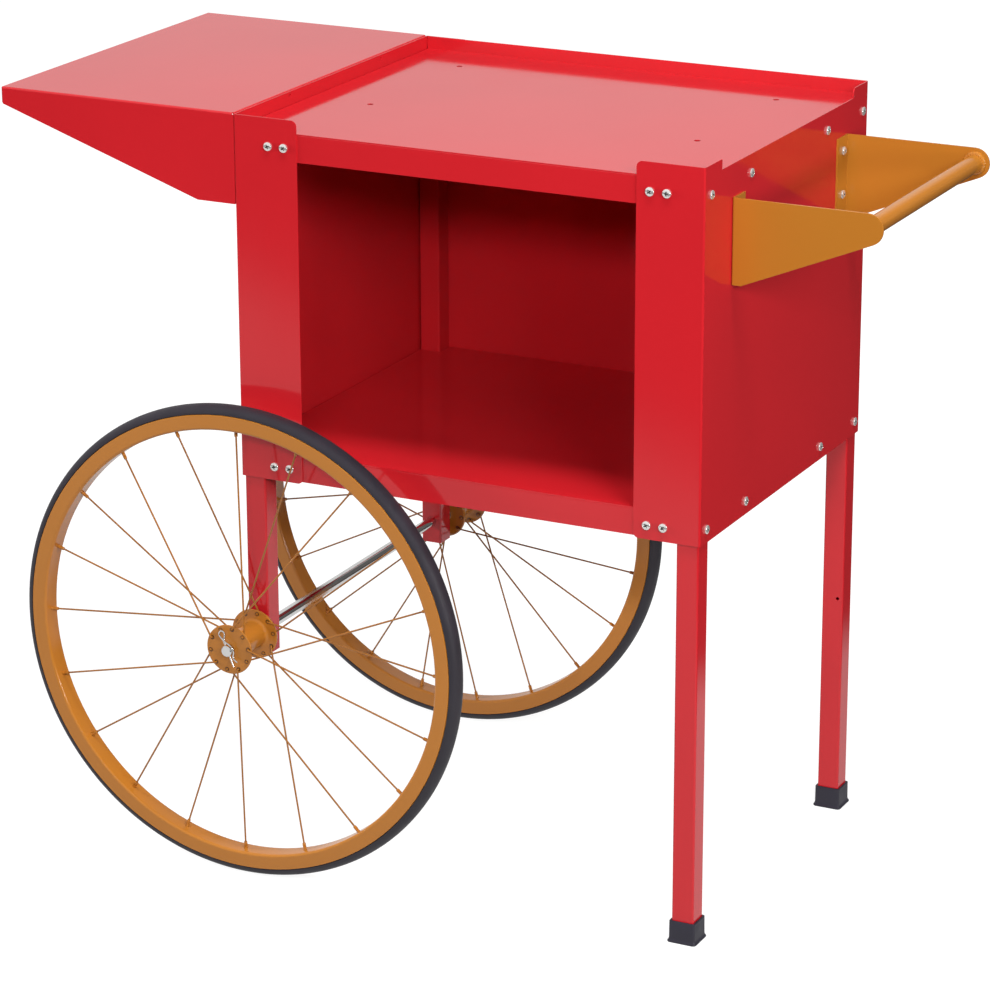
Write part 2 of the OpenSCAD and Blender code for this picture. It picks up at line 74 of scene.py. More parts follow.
class Shader:
    """A material whose node tree is built by short calls."""

    def __init__(self, name):
        self.material = bpy.data.materials.new(name)
        self.material.use_nodes = True
        self.tree = self.material.node_tree
        self.surface = self.tree.nodes["Principled BSDF"]
        self.where = self.add("ShaderNodeTexCoord").outputs["Object"]

    def add(self, kind, inputs=None, **settings):
        made = self.tree.nodes.new(kind)
        for key, value in settings.items():
            setattr(made, key, value)
        for key, value in (inputs or {}).items():
            self.put(made, key, value)
        return made

    def put(self, node, key, value):
        if isinstance(value, bpy.types.NodeSocket):
            self.tree.links.new(value, node.inputs[key])
        else:
            node.inputs[key].default_value = value

    def plain(self, **values):
        for key, value in values.items():
            self.surface.inputs[key.replace("_", " ")].default_value = value

    def noise(self, scale, detail=2.0, stretch=None, roughness=0.5):
        where = self.where
        if stretch:
            where = self.add("ShaderNodeMapping", {"Vector": where, "Scale": stretch}).outputs[0]
        inputs = {"Vector": where, "Scale": scale, "Detail": detail, "Roughness": roughness}
        return self.add("ShaderNodeTexNoise", inputs).outputs["Fac"]

    def spread(self, value, low, high, start=0.0, end=1.0):
        """Maps value from start..end to low..high, clamped."""
        inputs = {"Value": value, "From Min": start, "From Max": end, "To Min": low, "To Max": high}
        return self.add("ShaderNodeMapRange", inputs).outputs["Result"]

    def tint(self, factor, a, b):
        made = self.add("ShaderNodeMix", {"Factor": factor}, data_type="RGBA")
        self.put(made, 6, (*a, 1.0))
        self.put(made, 7, (*b, 1.0))
        return made.outputs[2]

    def bump(self, heights):
        """Chains one bump per (height socket, distance in metres, strength)."""
        normal = None
        for height, distance, strength in heights:
            inputs = {"Height": height, "Distance": distance, "Strength": strength}
            if normal is not None:
                inputs["Normal"] = normal
            normal = self.add("ShaderNodeBump", inputs).outputs["Normal"]
        self.put(self.surface, "Normal", normal)


def scaled(color, k):
    return tuple(min(1.0, c * k) for c in color)


def powder_coat(name, color, rough=0.09, peel=1.0, edge=1.0):
    """Glossy coat with orange peel, faint haze from handling, and a slight drift of colour."""
    s = Shader(name)
    s.plain(IOR=1.5)
    cloud = s.spread(s.noise(5.0, 3.0), 0.0, 1.0, 0.3, 0.7)
    s.put(s.surface, "Base Color", s.tint(cloud, scaled(color, 0.97 * edge), scaled(color, 1.03 * edge)))
    haze = s.spread(s.noise(11.0, 4.0, (1.0, 1.0, 0.45)), 0.0, 0.05, 0.45, 0.75)
    grain = s.spread(s.noise(900.0, 2.0), -0.012, 0.012)
    total = s.add("ShaderNodeMath", {0: haze, 1: grain}, operation="ADD").outputs[0]
    total = s.add("ShaderNodeMath", {0: total, 1: rough}, operation="ADD").outputs[0]
    s.put(s.surface, "Roughness", total)
    s.bump([(s.noise(260.0, 1.5), 0.00005, 0.22 * peel), (s.noise(900.0, 2.0), 0.00001, 0.2 * peel)])
    return s.material


def moulded_rubber(name, color, rough, grain):
    """Satin rubber: fine grain, faint bloom, uneven gloss."""
    s = Shader(name)
    s.plain(IOR=1.5)
    bloom = s.spread(s.noise(30.0, 4.0), 0.0, 1.0, 0.35, 0.75)
    s.put(s.surface, "Base Color", s.tint(bloom, color, scaled(color, 1.35)))
    s.put(s.surface, "Roughness", s.spread(s.noise(60.0, 3.0), rough - 0.06, rough + 0.08, 0.3, 0.7))
    s.bump([(s.noise(1400.0, 3.0), 0.00004, grain), (s.noise(160.0, 2.0), 0.00008, grain * 0.6)])
    return s.material


def metal(name, color, rough, lines=None, spangle=0.0, metallic=1.0):
    """Bare or plated metal; lines is the stretch of its turning or drawing marks."""
    s = Shader(name)
    s.plain(Metallic=metallic)
    worn = s.spread(s.noise(90.0, 4.0), 0.0, 1.0, 0.3, 0.7)
    s.put(s.surface, "Base Color", s.tint(worn, scaled(color, 0.93), color))
    s.put(s.surface, "Roughness", s.spread(s.noise(300.0, 3.0), rough * 0.75, rough * 1.3, 0.3, 0.7))
    marks = [(s.noise(500.0, 3.0), 0.00001, 0.25)]
    if lines:
        marks.append((s.noise(1.0, 2.0, lines), 0.000012, 0.5))
    if spangle:
        cells = s.add("ShaderNodeTexVoronoi", {"Vector": s.where, "Scale": 700.0}).outputs["Distance"]
        marks.append((cells, 0.00003, spangle))
    s.bump(marks)
    return s.material


RED = (0.55, 0.0135, 0.02)
GOLD = (0.445, 0.162, 0.0185)
coat = {
    "red_coat": powder_coat("red_coat", RED),
    "gold_coat": powder_coat("gold_coat", GOLD, rough=0.16, peel=1.3),
}
# The bevelled edges get a copy of each coat 10 to 12% lighter and rougher than the faces.
lighter_edge_coat = {
    "red_coat": powder_coat("red_coat_edge", RED, rough=0.14, edge=1.12),
    "gold_coat": powder_coat("gold_coat_edge", GOLD, rough=0.2, edge=1.1),
}
spoke_coat = powder_coat("gold_coat_wire", scaled(GOLD, 0.72), rough=0.2)
# Dark gold on thin discs round each spoke head and hole mouth: painted shade that stands for the shadowed
# hollow of the flange's hole.
painted_shade_coat = powder_coat("gold_coat_painted_shade", scaled(GOLD, 0.2), rough=0.3)
weld_coat = powder_coat("gold_coat_weld", GOLD, rough=0.07, peel=5.0)
coat["foot_rubber"] = moulded_rubber("foot_rubber", (0.016, 0.0145, 0.023), 0.5, 0.35)
coat["tyre_rubber"] = moulded_rubber("tyre_rubber", (0.018, 0.0155, 0.021), 0.55, 0.2)
coat["polished_steel"] = metal("polished_steel", (0.82, 0.82, 0.81), 0.09, (60.0, 6000.0, 60.0))
coat["spring_wire"] = metal("spring_wire", (0.8, 0.8, 0.78), 0.14)
coat["screw_steel"] = metal("screw_steel", (0.86, 0.85, 0.82), 0.16, metallic=0.75)
# Dark steel for the cross recess's deep faces: painted shade in the recess, on a head of the same steel.
painted_recess_shade = metal("screw_recess_painted_shade", (0.13, 0.125, 0.12), 0.35)
coat["zinc_plate"] = metal("zinc_plate", (0.64, 0.65, 0.68), 0.3, None, 0.3)
SLOT = {row["node"]: row["material_slot"] for row in frame["record"]["subparts"]}
BODY = {name: node["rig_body"] for name, node in NODES.items()}


# ---- mesh helpers ----


def finish_mesh(bm, name, node, materials, sharp_angle=40.0, weighted=False):
    """Turns bm into a piece that stands for a CAD node and rides on that node's body."""
    bmesh.ops.recalc_face_normals(bm, faces=bm.faces[:])
    mesh = bpy.data.meshes.new(name)
    bm.to_mesh(mesh)
    bm.free()
    if "custom_normal" in mesh.attributes:
        mesh.attributes.remove(mesh.attributes["custom_normal"])
    mesh.shade_smooth()
    mesh.set_sharp_from_angle(angle=math.radians(sharp_angle))
    for material in materials:
        mesh.materials.append(material)
    piece = bpy.data.objects.new(name, mesh)
    bpy.context.scene.collection.objects.link(piece)
    if weighted:
        modifier = piece.modifiers.new("normals", "WEIGHTED_NORMAL")
        modifier.keep_sharp = True
        modifier.weight = 90
    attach(piece, BODY[node])
    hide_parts(node)
    return piece


def bevelled(node, width, flatten, segments):
    """The CAD node with its coplanar triangles merged and its cut edges rounded by width, in mm."""
    bm = bmesh.new()
    bm.from_mesh(NODES[node].data)
    bmesh.ops.remove_doubles(bm, verts=bm.verts[:], dist=MERGE * MM)
    if flatten:
        limit = math.radians(0.15)
        bmesh.ops.dissolve_limit(bm, angle_limit=limit, verts=bm.verts[:], edges=bm.edges[:])
    cut = [e for e in bm.edges if e.is_manifold and e.calc_face_angle() > math.radians(42)]
    for face in bm.faces:
        face.material_index = 0
    bmesh.ops.bevel(
        bm, geom=cut, offset=width * MM, offset_type="OFFSET", segments=segments,
        profile=0.5, affect="EDGES", clamp_overlap=True, material=1,
    )
    slot = SLOT[node]
    # slot 1 holds that lighter, rougher copy for the bevel faces
    materials = [coat[slot], lighter_edge_coat.get(slot, coat[slot])]
    return finish_mesh(bm, node + "_finished", node, materials, 50.0, weighted=True)


def rings_to_faces(bm, rings, closed=False, caps=True):
    """Skins equal rings of vertices; closed joins the last ring to the first."""
    pairs = list(zip(rings, rings[1:] + ([rings[0]] if closed else [])))
    for a, b in pairs[: len(rings) - (0 if closed else 1)]:
        n = len(a)
        for k in range(n):
            bm.faces.new((a[k], a[(k + 1) % n], b[(k + 1) % n], b[k]))
    if caps and not closed:
        bm.faces.new(rings[0])
        bm.faces.new(rings[-1][::-1])


def lathe(bm, profile, place, sides, radius_at=None):
    """Revolves (radius, height) points round local Z, places them by a matrix and caps both ends."""
    rings = []
    for r, h in profile:
        row = []
        for k in range(sides):
            a = 2 * math.pi * k / sides
            ra = radius_at(r, h, a) if radius_at else r
            row.append(bm.verts.new(place @ Vector((ra * math.cos(a), ra * math.sin(a), h))))
        rings.append(row)
    rings_to_faces(bm, rings)


def tube(bm, path, radius, sides):
    """Round wire along a path of points, with its ends capped."""
    normal = None
    rings = []
    for i, p in enumerate(path):
        ahead = (path[min(i + 1, len(path) - 1)] - path[max(i - 1, 0)]).normalized()
        if normal is None:
            normal = ahead.orthogonal().normalized()
        normal = (normal - ahead * normal.dot(ahead)).normalized()
        side = ahead.cross(normal)
        row = []
        for k in range(sides):
            t = 2 * math.pi * k / sides
            row.append(bm.verts.new(p + radius * (math.cos(t) * normal + math.sin(t) * side)))
        rings.append(row)
    rings_to_faces(bm, rings)


def rounded_corner(a, corner, b, trim, steps=6):
    """a, an arc that cuts the corner by trim, and b."""
    start = corner + (a - corner).normalized() * min(trim, 0.9 * (a - corner).length)
    end = corner + (b - corner).normalized() * min(trim, 0.9 * (b - corner).length)
    arc = []
    for i in range(steps + 1):
        t = i / steps
        arc.append(start * (1 - t) ** 2 + corner * 2 * t * (1 - t) + end * t * t)
    return [a, *arc, b]


def frame_along(origin, direction):
    """Matrix with its Z along direction."""
    z = direction.normalized()
    x = z.orthogonal().normalized()
    y = z.cross(x)
    return Matrix.Translation(origin) @ Matrix((x, y, z)).transposed().to_4x4()


def islands(node):
    """Boxes (low, high) of a CAD node's separate solids, in a fixed order."""
    bm = bmesh.new()
    bm.from_mesh(NODES[node].data)
    bmesh.ops.remove_doubles(bm, verts=bm.verts[:], dist=MERGE * MM)
    seen, boxes = set(), []
    for v in bm.verts:
        if v in seen:
            continue
        stack, mine = [v], []
        seen.add(v)
        while stack:
            u = stack.pop()
            mine.append(u.co.copy())
            for e in u.link_edges:
                w = e.other_vert(u)
                if w not in seen:
                    seen.add(w)
                    stack.append(w)
        low = Vector(min(c[i] for c in mine) for i in range(3))
        high = Vector(max(c[i] for c in mine) for i in range(3))
        boxes.append((low, high))
    bm.free()
    return sorted(boxes, key=lambda b: tuple(round(c, 4) for c in (b[0] + b[1])))


# ---- sheet, tube and turned parts ----

# bevel width in mm, whether coplanar triangles are merged, bevel segments, nodes
BEVELS = (
    (0.25, True, 2, (
        "left_side_panel", "right_side_panel", "back_panel", "table_top", "cabinet_shelf", "side_tray",
        "front_left_leg", "rear_left_leg", "front_right_leg", "rear_right_leg",
    )),
    (0.4, True, 3, ("front_handle_bracket", "rear_handle_bracket")),
    (0.35, True, 2, ("front_nuts", "left_nuts", "right_nuts", "back_nuts", "handle_nuts")),
    (0.2, False, 2, ("front_hub", "rear_hub", "front_rim", "rear_rim")),
    (0.3, False, 2, ("grip_tube", "axle", "front_axle_spacer", "rear_axle_spacer")),
)
for width, flatten, segments, nodes in BEVELS:
    for node in nodes:
        bevelled(node, width, flatten, segments)


# ---- wheels ----

SPOKES = 20
SPOKE_R = 1.0
SPOKE_RING = 24.0
FLANGE = 3.0
RIM_H = 17.5
REAR_TURN = 24.5
WIRE_SIDES = 12
RING_SIDES = 16
NIPPLE_SIDES = 24
TYRE_SIDES = 240
CROWN_STEPS = 44
# (radius, height) outlines in mm, from the flange or the rim outwards
SPOKE_HEAD = [(1.0, 0.0), (1.55, 0.1), (1.7, 0.4), (1.6, 0.85), (1.1, 1.15), (0.5, 1.25)]
# thin disc, coloured as painted shade, that stands for the hole's shadowed mouth under each head
PAINTED_SHADE_RING = [(0.9, -0.1), (2.6, -0.1), (2.6, 0.04), (0.9, 0.05)]
NIPPLE = [
    (1.05, -7.6), (1.1, -8.6), (1.6, -8.8), (1.85, -8.5), (1.95, -5.6), (1.95, -5.4), (1.95, -1.1),
    (2.0, -0.9), (2.0, 1.4), (2.9, 1.5), (3.0, 1.8), (2.8, 2.6), (2.0, 3.0), (0.6, 3.0),
]
NIPPLE_FLAT = 1.72
STEP = 360 / SPOKES
LACING = []
for group in range(SPOKES // 4):
    start = 4 * STEP * group
    LACING += [
        (start, start + 45, -1, False),
        (start + STEP, start - 27, 1, False),
        (start + 2 * STEP, start + 9, -1, True),
        (start + 3 * STEP, start + 81, 1, True),
    ]


def polar(r, degrees, z):
    a = math.radians(degrees)
    return Vector((r * math.cos(a), r * math.sin(a), z))


class Wheel:
    """A wheel's own frame, in mm, with +Z outboard, taken from the CAD boxes."""

    def __init__(self, end, outward, turn):
        self.end = end
        hub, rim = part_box(end + "_hub"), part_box(end + "_rim")
        centre = (hub[0] + hub[1]) / 2
        plane = (rim[0].y + rim[1].y) / 2
        axes = Matrix(((1, 0, 0), (0, 0, 1), (0, outward, 0))).transposed().to_4x4()
        place = Matrix.Translation((centre.x, plane, centre.z))
        self.matrix = place @ axes @ Matrix.Rotation(math.radians(turn), 4, "Z") @ Matrix.Scale(MM, 4)
        faces = sorted((outward * (hub[i].y - plane) / MM for i in (0, 1)))
        self.hub_in, self.hub_out = faces
        self.rim_half = (rim[1].y - rim[0].y) / 2 / MM
        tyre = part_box(end + "_tyre")
        self.tyre_r = (tyre[1].z - tyre[0].z) / 2 / MM
        self.rim_r = (rim[1].x - rim[0].x) / 2 / MM
        self.rim_in = self.rim_r - RIM_H

    def spokes(self):
        """(elbow, rim point, head height, head direction, elbow side's face) of every spoke."""
        for rim_angle, hub_angle, side, outer in LACING:
            face = self.hub_out if side > 0 else self.hub_in
            elbow = polar(SPOKE_RING, hub_angle, face + side * (2 if outer else -FLANGE - 1.3))
            far = face - (side * FLANGE if outer else 0)
            head = -side if outer else side
            near = face - (0 if outer else side * FLANGE)
            yield elbow, polar(self.rim_in + 0.8, rim_angle, 0), far, head, near

    def make_spokes(self):
        bm = bmesh.new()
        shaded = set()
        for elbow, end, far, head, near in self.spokes():
            seat = Vector((elbow.x, elbow.y, far + head * 0.5))
            path = rounded_corner(seat, elbow, end + (end - elbow).normalized(), 1.8)
            tube(bm, path, SPOKE_R, WIRE_SIDES)
            up = Matrix.Translation((elbow.x, elbow.y, far)) @ Matrix.Scale(head, 4, (0, 0, 1))
            lathe(bm, SPOKE_HEAD, up, WIRE_SIDES)
            # thin discs of painted shade under the head and at the other face, where the flange's hole
            # shows
            before = set(bm.faces)
            for level, out in ((far, head), (near, -head)):
                shade_ring_place = Matrix.Translation((elbow.x, elbow.y, level)) @ Matrix.Scale(out, 4, (0, 0, 1))
                lathe(bm, PAINTED_SHADE_RING, shade_ring_place, RING_SIDES)
            shaded |= set(bm.faces) - before
        for face in shaded:
            face.material_index = 1
        bm.transform(self.matrix)
        finish_mesh(bm, self.end + "_spoke_wires", self.end + "_spokes", [spoke_coat, painted_shade_coat], 60.0)

    def make_nipples(self):
        def flats(r, h, a):
            square = NIPPLE_FLAT / max(abs(math.cos(a)), abs(math.sin(a)))
            return min(r, square) if -5.5 < h < -1.0 and r > 1.5 else r

        bm = bmesh.new()
        for elbow, end, _, _, _ in self.spokes():
            lathe(bm, NIPPLE, frame_along(end, end - elbow), NIPPLE_SIDES, flats)
        bm.transform(self.matrix)
        name = self.end + "_spoke_nipples"
        finish_mesh(bm, name + "_turned", name, [coat["gold_coat"]], 50.0)

    def make_tyre(self):
        """Solid rubber tyre: oval crown, shoulders over the rim's edges, foot inside the channel."""
        lip = self.rim_r + 0.3
        centre = self.rim_r + 0.6
        crown = self.tyre_r - centre
        half = self.rim_half - 0.2
        foot = self.rim_half - 1.8
        outline = [
            (self.rim_in + 5, -foot), (lip - 1.0, -foot), (lip, -foot - 0.6), (lip + 0.1, -half + 0.4),
        ]
        for i in range(CROWN_STEPS + 1):
            a = math.radians(-90 + 180 * i / CROWN_STEPS)
            outline.append((centre + crown * math.cos(a), half * math.sin(a)))
        outline += [(lip + 0.1, half - 0.4), (lip, foot + 0.6), (lip - 1.0, foot), (self.rim_in + 5, foot)]
        bm = bmesh.new()
        rings = []
        for k in range(TYRE_SIDES):
            a = 2 * math.pi * k / TYRE_SIDES
            rings.append([bm.verts.new((r * math.cos(a), r * math.sin(a), z)) for r, z in outline])
        rings_to_faces(bm, rings, closed=True)
        bm.transform(self.matrix)
        finish_mesh(bm, self.end + "_tyre_moulded", self.end + "_tyre", [coat["tyre_rubber"]], 45.0)


for wheel in (Wheel("front", -1, 0.0), Wheel("rear", 1, REAR_TURN)):
    wheel.make_spokes()
    wheel.make_nipples()
    wheel.make_tyre()


# ---- screws ----

HEAD_R = 4.85
HEAD_H = 3.2
RECESS_R = 2.7
THREAD = 0.8
SCREW_SIDES = 48
RECESS_RINGS = (0.35, 0.7, 1.05, 1.4, 1.75, 2.1, 2.4, 2.6)
draw = random.Random(5)


def head_height(r):
    """Pan head's profile over its radius."""
    return HEAD_H - 1.25 * (r / HEAD_R) ** 2.8


def recess_depth(r, a):
    """Cross recess, deepest at the centre, with slightly tapering arms."""
    narrow = min(abs(r * math.cos(a)), abs(r * math.sin(a)))
    half = 0.62 - 0.06 * r
    wall = max(0.0, min(1.0, (half - narrow) / 0.22 + 0.5))
    reach = max(0.0, 1 - (r / RECESS_R) ** 4)
    return wall * min(1.0, reach * 1.6) * (1.75 - 0.3 * r)


def screw_mesh(bm, place, shank):
    """A pan-head machine screw on local +Z, its seat at z = 0."""
    n = SCREW_SIDES
    turns = [2 * math.pi * k / n for k in range(n)]
    top = bm.verts.new(place @ Vector((0, 0, head_height(0) - recess_depth(0, 0))))
    rings = []
    for r in (*RECESS_RINGS, 2.75, 3.1, 3.6, 4.1, 4.45, 4.65):
        rings.append([(r, head_height(r) - recess_depth(r, a)) for a in turns])
    profile = [(4.8, 1.75), (HEAD_R, 1.4), (HEAD_R, 0.25), (4.7, 0.02), (2.5, 0.0)]
    z = -0.4
    while z > -shank + 0.6:
        profile += [(2.47, z), (2.12, z - THREAD / 2)]
        z -= THREAD
    profile += [(2.2, -shank + 0.3), (1.8, -shank)]
    rings += [[(r, h)] * n for r, h in profile]
    loops = []
    for ring in rings:
        loops.append([
            bm.verts.new(place @ Vector((r * math.cos(a), r * math.sin(a), h)))
            for (r, h), a in zip(ring, turns)
        ])
    for k in range(n):
        # the recess's deep faces take slot 1, the painted shade
        bm.faces.new((top, loops[0][k], loops[0][(k + 1) % n])).material_index = 1
    for inner, outer, r in zip(loops, loops[1:], RECESS_RINGS):
        for k in range(n):
            face = bm.faces.new((inner[k], inner[(k + 1) % n], outer[(k + 1) % n], outer[k]))
            middle = turns[k] + math.pi / n
            face.material_index = 1 if recess_depth(r + 0.15, middle) > 0.3 else 0
    rings_to_faces(bm, loops[len(RECESS_RINGS):], caps=False)
    bm.faces.new(loops[-1][::-1])


for node, outward in (
    ("front_screws", Vector((0, -1, 0))),
    ("back_screws", Vector((0, 1, 0))),
    ("left_screws", Vector((-1, 0, 0))),
    ("right_screws", Vector((1, 0, 0))),
    ("handle_screws", Vector((1, 0, 0))),
):
    axis = max(range(3), key=lambda i: abs(outward[i]))
    bm = bmesh.new()
    for low, high in islands(node):
        head = (low + high) / 2
        end = high[axis] if outward[axis] > 0 else low[axis]
        head[axis] = end - outward[axis] * HEAD_H * MM
        shank = (high - low)[axis] / MM - HEAD_H
        turn = Matrix.Rotation(draw.uniform(0, math.pi / 2), 4, "Z")
        screw_mesh(bm, frame_along(head, outward) @ Matrix.Scale(MM, 4) @ turn, shank)
    finish_mesh(bm, node + "_pan_head", node, [coat["screw_steel"], painted_recess_shade], 35.0)


# ---- weld beads round the grip tube ----

WELD_SIDES = 144
RIPPLES = 23
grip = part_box("grip_tube")
grip_centre = (grip[0] + grip[1]) / 2
grip_r = (grip[1].x - grip[0].x) / 2 / MM
bm = bmesh.new()
for end, inward in ((grip[0].y, 1), (grip[1].y, -1)):
    rings = []
    phase = draw.uniform(0, 1)
    for k in range(WELD_SIDES):
        a = 2 * math.pi * k / WELD_SIDES
        scale = (a / (2 * math.pi) * RIPPLES + phase) % 1.0
        bead = 2.75 + 0.55 * math.sqrt(scale) + 0.2 * math.sin(3 * a + phase * 6) + 0.12 * math.sin(7 * a)
        row = [(grip_r - 0.4, -0.4)]
        for i in range(9):
            b = math.radians(-6 + 102 * i / 8)
            row.append((grip_r + bead * math.cos(b), bead * math.sin(b)))
        rings.append([
            bm.verts.new((
                grip_centre.x + MM * r * math.cos(a),
                end + inward * MM * h,
                grip_centre.z + MM * r * math.sin(a),
            ))
            for r, h in row
        ])
    rings_to_faces(bm, rings, closed=True)
finish_mesh(bm, "grip_weld_beads", "grip_welds", [weld_coat], 70.0)


# ---- rubber boots ----


def square_ring(bm, centre, half, radius, z, per_corner=6):
    """Vertices of a rounded square, half its width and the corner radius in mm."""
    row = []
    for quarter in range(4):
        for i in range(per_corner + 1):
            a = math.pi / 2 * (quarter + i / per_corner)
            sx = 1 if quarter in (0, 3) else -1
            sy = 1 if quarter in (0, 1) else -1
            x = sx * (half - radius) + radius * math.cos(a)
            y = sy * (half - radius) + radius * math.sin(a)
            row.append(bm.verts.new((centre.x + MM * x, centre.y + MM * y, MM * z)))
    return row


def boot(foot, leg):
    """Square boot pulled over the leg: flared sole, thin rim round the tube, recessed underside."""
    low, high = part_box(foot)
    leg_low, leg_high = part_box(leg)
    inner = (leg_high.x - leg_low.x) / 2 / MM + 0.05
    sole = (high.x - low.x) / 2 / MM
    wall = sole - 1.8
    top = high.z / MM
    rows = [
        (inner - 3.0, 1.2, 1.0), (inner - 0.6, 1.6, 1.0), (inner + 0.2, 2.0, 0.6), (inner + 0.6, 2.4, 0.0),
        (sole - 0.9, 3.6, 0.0), (sole - 0.25, 4.0, 0.25), (sole, 4.2, 0.8), (sole, 4.2, 1.5),
        (sole - 0.3, 4.0, 2.1), (sole - 1.2, 3.4, 3.2), (wall + 0.15, 2.8, 4.6), (wall, 2.6, 6.0),
        (wall - 0.15, 2.5, top - 1.0), (wall - 0.3, 2.4, top - 0.3), (wall - 0.8, 2.2, top),
        (inner + 0.5, 2.1, top), (inner + 0.1, 2.0, top - 0.3), (inner, 1.9, top - 1.2), (inner, 1.9, 2.9),
    ]
    bm = bmesh.new()
    centre = (low + high) / 2
    rings_to_faces(bm, [square_ring(bm, centre, half, r, z) for half, r, z in rows])
    finish_mesh(bm, foot + "_boot", foot, [coat["foot_rubber"]], 60.0)


boot("front_right_foot", "front_right_leg")
boot("rear_right_foot", "rear_right_leg")


# ---- retaining clips ----

CLIP_R = 0.9
CLIP_TILT = math.radians(23)
CLIP_LIFT = 1.9
LOOP_START, LOOP_END, LIFT_SPAN = 9, 15, 5
CLIP_LINE = [
    (0, -19), (0, -8), (0, 4), (0, 10), (-0.3, 13), (-1.6, 16), (-2.5, 19), (-1.9, 21.6), (0.2, 23.1),
    (2.6, 22.9), (4.6, 21.1), (5.0, 18.6), (3.6, 16.1), (2.3, 14), (2.2, 11.6), (3.6, 9), (5.6, 6.4),
    (7.1, 3.2), (7.4, 0), (7.0, -3.2), (5.4, -6.2), (3.9, -8.4), (3.8, -10.6), (4.9, -13), (6.6, -15.5),
]


def smooth_line(points, per_span=5):
    """Catmull-Rom points through a list of vectors."""
    padded = [2 * points[0] - points[1], *points, 2 * points[-1] - points[-2]]
    line = []
    for a, b, c, d in zip(padded, padded[1:], padded[2:], padded[3:]):
        for i in range(per_span):
            t = i / per_span
            square, cube = 2 * a - 5 * b + 4 * c - d, 3 * b - a - 3 * c + d
            line.append(0.5 * (2 * b + (c - a) * t + square * t * t + cube * t ** 3))
    return line + [points[-1]]


for end, outward in (("front", -1), ("rear", 1)):
    low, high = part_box(end + "_retaining_clip")
    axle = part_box("axle")
    centre = Vector(((axle[0].x + axle[1].x) / 2, (low.y + high.y) / 2, (axle[0].z + axle[1].z) / 2))
    points = []
    for i, (x, z) in enumerate(CLIP_LINE):
        fall = max(0.0, CLIP_LIFT - 0.5 * max(0, i - LOOP_END))
        lift = max(0.0, min(1.0, (i - LOOP_START) / LIFT_SPAN)) * fall
        tilted = Vector((
            x * math.cos(CLIP_TILT) - z * math.sin(CLIP_TILT), outward * lift,
            x * math.sin(CLIP_TILT) + z * math.cos(CLIP_TILT),
        ))
        points.append(centre + tilted * MM)
    bm = bmesh.new()
    tube(bm, smooth_line(points), CLIP_R * MM, 12)
    finish_mesh(bm, end + "_clip_wire", end + "_retaining_clip", [coat["spring_wire"]], 60.0)

for name, node in NODES.items():
    node.data.materials.clear()
    node.data.materials.append(coat[SLOT[name]])


# ---- floor, light and camera ----

CAMERA_AT = Vector((1.87682, -3.76615, 1.80995))
CAMERA_AIM = Vector((-0.0111, 0.0, 0.39356))
CAMERA_ROLL = math.radians(-0.155)
LENS = 143.0
PAPER_FRONT = 1.345
PAPER_SLANT = 0.05
PAPER_RIGHT = 0.81
PAPER_LEFT = -3.0
PAPER_SOFT = 0.06
PAPER_GLOSS = 0.75
PAPER_DIFFUSE = 0.3
PAPER_SHADE = 0.2
PAPER_GLOW = 0.9
GLOW_NEAR = 1.3
GLOW_FAR = 2.6
SURROUND_GLOSS = 0.05
FLOOR_HALF = 40.0
WORLD_DIFFUSE = 0.0
WORLD_GLOSS = 0.74
WORLD_SIDE = 0.12
BACKDROP_FADE = (0.3, 0.6)
LIGHT_DISTANCE = 3.5
LIGHT_AIM = Vector((0, 0, 0.55))
# name, azimuth, elevation, width, height, watts, mirrored
# azimuth 0 is in front of the cart and 90 on the handle's side
LIGHTS = (
    ("key", 50, 24, 1.3, 0.6, 56, False),
    ("front", 17, 24, 1.0, 0.35, 45, False),
    ("left_low", -75, 8, 1.0, 0.5, 87, False),
    ("right_low", 75, 8, 1.0, 0.5, 34, True),
    ("top", 0, 75, 1.0, 0.5, 51, False),
    ("top_right", 60, 65, 1.0, 0.5, 53, False),
    ("back", 187, 20, 1.0, 0.5, 40, False),
)

toward = Vector((CAMERA_AT.x - CAMERA_AIM.x, CAMERA_AT.y - CAMERA_AIM.y, 0)).normalized()
rightward = Vector((-toward.y, toward.x, 0))


